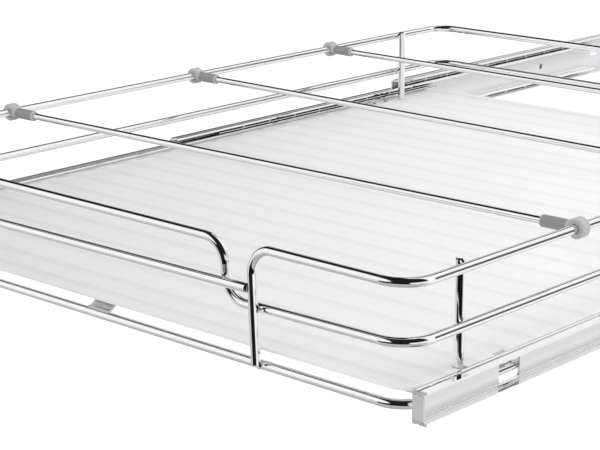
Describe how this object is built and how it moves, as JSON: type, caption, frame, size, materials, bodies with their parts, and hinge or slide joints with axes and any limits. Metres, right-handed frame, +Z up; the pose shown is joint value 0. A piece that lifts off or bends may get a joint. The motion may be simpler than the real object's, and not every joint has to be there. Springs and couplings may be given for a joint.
{
  "type": "pull out cabinet basket",
  "caption": "Chromed wire basket with a frosted base mat and sliding divider rods, drawn part way out of a cabinet on ball-bearing slides at its sides.",
  "frame": {"origin": "midway between the two slides, at the front ends of the cabinet members, at the height of the slides' centrelines", "axes": "+X to the right seen from the front, +Y into the cabinet, +Z up"},
  "size_m": [0.4604, 1.1035, 0.0791],
  "materials": {
    "chrome": "bright chrome plate",
    "chrome_wire": "bright chrome plate",
    "mat": "frosted, translucent",
    "zinc": "bright zinc plate",
    "cage": "oiled steel",
    "ball": "polished steel",
    "stop_rubber": "matt black",
    "rod": "bright chrome plate",
    "clip": "satin grey"
  },
  "bodies": {
    "cabinet_sides": {"cabinet_member_right": "zinc", "cabinet_member_left": "zinc", "rear_stop_right": "stop_rubber", "rear_stop_left": "stop_rubber"},
    "basket": {"bottom_rail": "chrome", "gallery_wire_right": "chrome", "gallery_wire_left": "chrome", "gallery_wire_middle": "chrome", "post_front_right": "chrome", "post_front_left": "chrome", "post_back_right": "chrome", "post_back_left": "chrome", "cross_wires": "chrome_wire", "middle_strip": "chrome_wire", "base_mat": "mat", "drawer_member_right": "zinc", "drawer_member_left": "zinc"},
    "intermediate_right": {"intermediate_member_right": "zinc"},
    "inner_bearing_right": {"inner_cage_right": "cage", "inner_balls_right": "ball"},
    "outer_bearing_right": {"outer_cage_right": "cage", "outer_balls_right": "ball"},
    "intermediate_left": {"intermediate_member_left": "zinc"},
    "inner_bearing_left": {"inner_cage_left": "cage", "inner_balls_left": "ball"},
    "outer_bearing_left": {"outer_cage_left": "cage", "outer_balls_left": "ball"},
    "divider_front": {"divider_rod_front": "rod", "clip_front_right": "clip", "clip_front_left": "clip"},
    "divider_middle": {"divider_rod_middle": "rod", "clip_middle_right": "clip", "clip_middle_left": "clip"},
    "divider_back": {"divider_rod_back": "rod", "clip_back_right": "clip", "clip_back_left": "clip"}
  },
  "joints": [
    {"name": "basket_slide", "type": "slide", "parent": "cabinet_sides", "child": "basket", "axis": [0, -1, 0], "range_m": [-0.5265, 0.0035]},
    {"name": "intermediate_slide_right", "type": "slide", "parent": "cabinet_sides", "child": "intermediate_right", "axis": [0, -1, 0], "range_m": [-0.26325, 0.00175]},
    {"name": "inner_bearing_slide_right", "type": "slide", "parent": "cabinet_sides", "child": "inner_bearing_right", "axis": [0, -1, 0], "range_m": [-0.39487, 0.00263]},
    {"name": "outer_bearing_slide_right", "type": "slide", "parent": "cabinet_sides", "child": "outer_bearing_right", "axis": [0, -1, 0], "range_m": [-0.13162, 0.00088]},
    {"name": "intermediate_slide_left", "type": "slide", "parent": "cabinet_sides", "child": "intermediate_left", "axis": [0, -1, 0], "range_m": [-0.26325, 0.00175]},
    {"name": "inner_bearing_slide_left", "type": "slide", "parent": "cabinet_sides", "child": "inner_bearing_left", "axis": [0, -1, 0], "range_m": [-0.39487, 0.00263]},
    {"name": "outer_bearing_slide_left", "type": "slide", "parent": "cabinet_sides", "child": "outer_bearing_left", "axis": [0, -1, 0], "range_m": [-0.13162, 0.00088]},
    {"name": "divider_slide_front", "type": "slide", "parent": "basket", "child": "divider_front", "axis": [0, 1, 0], "range_m": [-0.07315, 0.07385]},
    {"name": "divider_slide_middle", "type": "slide", "parent": "basket", "child": "divider_middle", "axis": [0, 1, 0], "range_m": [-0.06615, 0.06985]},
    {"name": "divider_slide_back", "type": "slide", "parent": "basket", "child": "divider_back", "axis": [0, 1, 0], "range_m": [-0.06425, 0.07225]}
  ],
  "couplings": [
    {"joint": "intermediate_slide_right", "follows": "basket_slide", "ratio": 0.5},
    {"joint": "inner_bearing_slide_right", "follows": "basket_slide", "ratio": 0.75},
    {"joint": "outer_bearing_slide_right", "follows": "basket_slide", "ratio": 0.25},
    {"joint": "intermediate_slide_left", "follows": "basket_slide", "ratio": 0.5},
    {"joint": "inner_bearing_slide_left", "follows": "basket_slide", "ratio": 0.75},
    {"joint": "outer_bearing_slide_left", "follows": "basket_slide", "ratio": 0.25}
  ]
}
